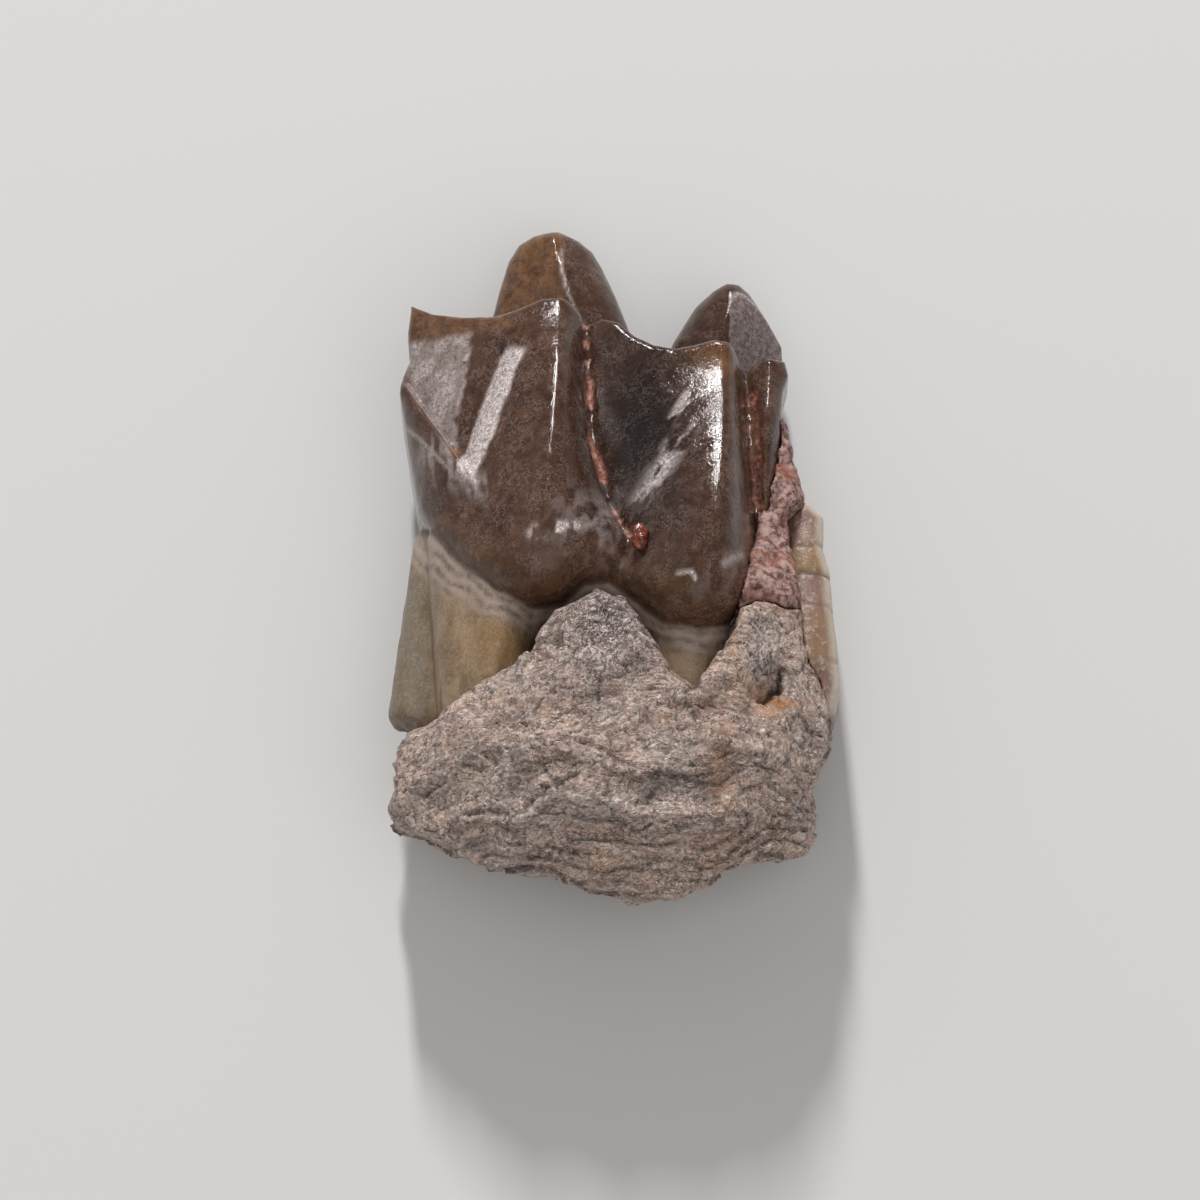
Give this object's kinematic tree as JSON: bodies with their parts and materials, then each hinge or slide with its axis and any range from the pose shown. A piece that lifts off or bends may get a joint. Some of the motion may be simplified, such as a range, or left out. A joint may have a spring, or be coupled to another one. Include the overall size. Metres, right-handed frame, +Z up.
{
  "type": "fossil jaw fragment",
  "caption": "Broken piece of fossil oreodont jaw holding one ridged, glossy brown molar, with its roots in rough bone and red sediment along one edge; lies on its tongue side",
  "frame": {"origin": "On the plane the fossil rests on, under the middle of its bounding box", "axes": "+X along the tooth row towards the edge with the red sediment, +Y from the broken lower edge of the jaw towards the chewing edge, +Z up from the tongue side to the cheek side"},
  "size_m": [0.0187, 0.0304, 0.0109],
  "materials": {
    "tooth": "polished",
    "bone": "rough",
    "sediment": "rough",
    "root": "satin",
    "grain": "polished"
  },
  "bodies": {
    "root": {"molar_tooth": "tooth", "jaw_bone": "bone", "red_sediment": "sediment", "root_stump": "root", "groove_grain": "grain"}
  },
  "joints": []
}
